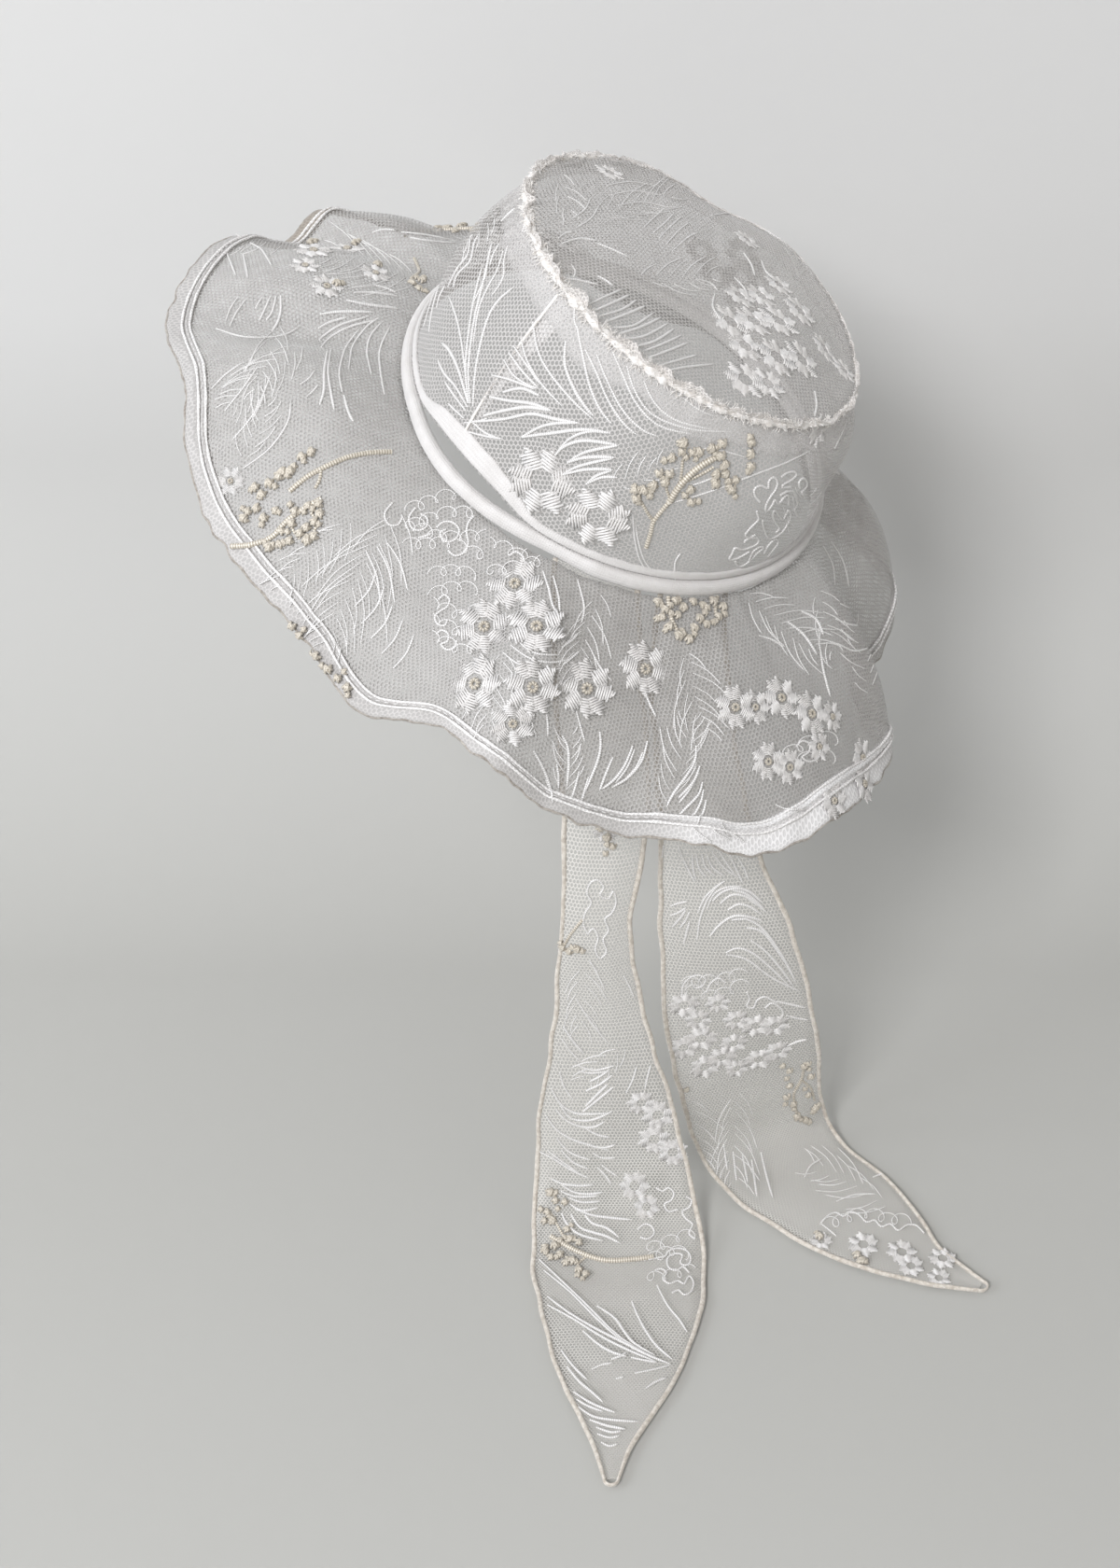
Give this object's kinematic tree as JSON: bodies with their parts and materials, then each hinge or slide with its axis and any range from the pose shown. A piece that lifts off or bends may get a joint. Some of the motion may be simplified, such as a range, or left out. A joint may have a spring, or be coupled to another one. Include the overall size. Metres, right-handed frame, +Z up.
{
  "type": "sheer net sun hat with streamers",
  "caption": "Soft net hat with an oval crown, a rolled head band, a wide waved brim with a corded hem and pointed streamers hanging from the back.",
  "frame": {"origin": "middle of the head opening, at the height of the rolled head band", "axes": "+Z straight up as worn, +Y the front of the hat, +X the wearer's right; the hat's own axis leans 21 degrees to +X and 10.3 degrees to -Y"},
  "size_m": [0.3537, 0.4716, 0.4502],
  "materials": {
    "net": "sheer ivory net",
    "binding": "matt white cloth tape",
    "seam": "rolled cream net",
    "white_thread": "glossy satin stitch",
    "gold_thread": "metallic thread"
  },
  "bodies": {
    "root": {"crown_tip": "net", "crown_side": "net", "brim": "net", "streamer_left": "net", "streamer_right": "net", "head_band": "binding", "crown_binding": "binding", "brim_hem": "binding", "tip_seam": "seam", "side_seam": "seam", "streamer_left_edge": "seam", "streamer_right_edge": "seam"}
  },
  "joints": []
}
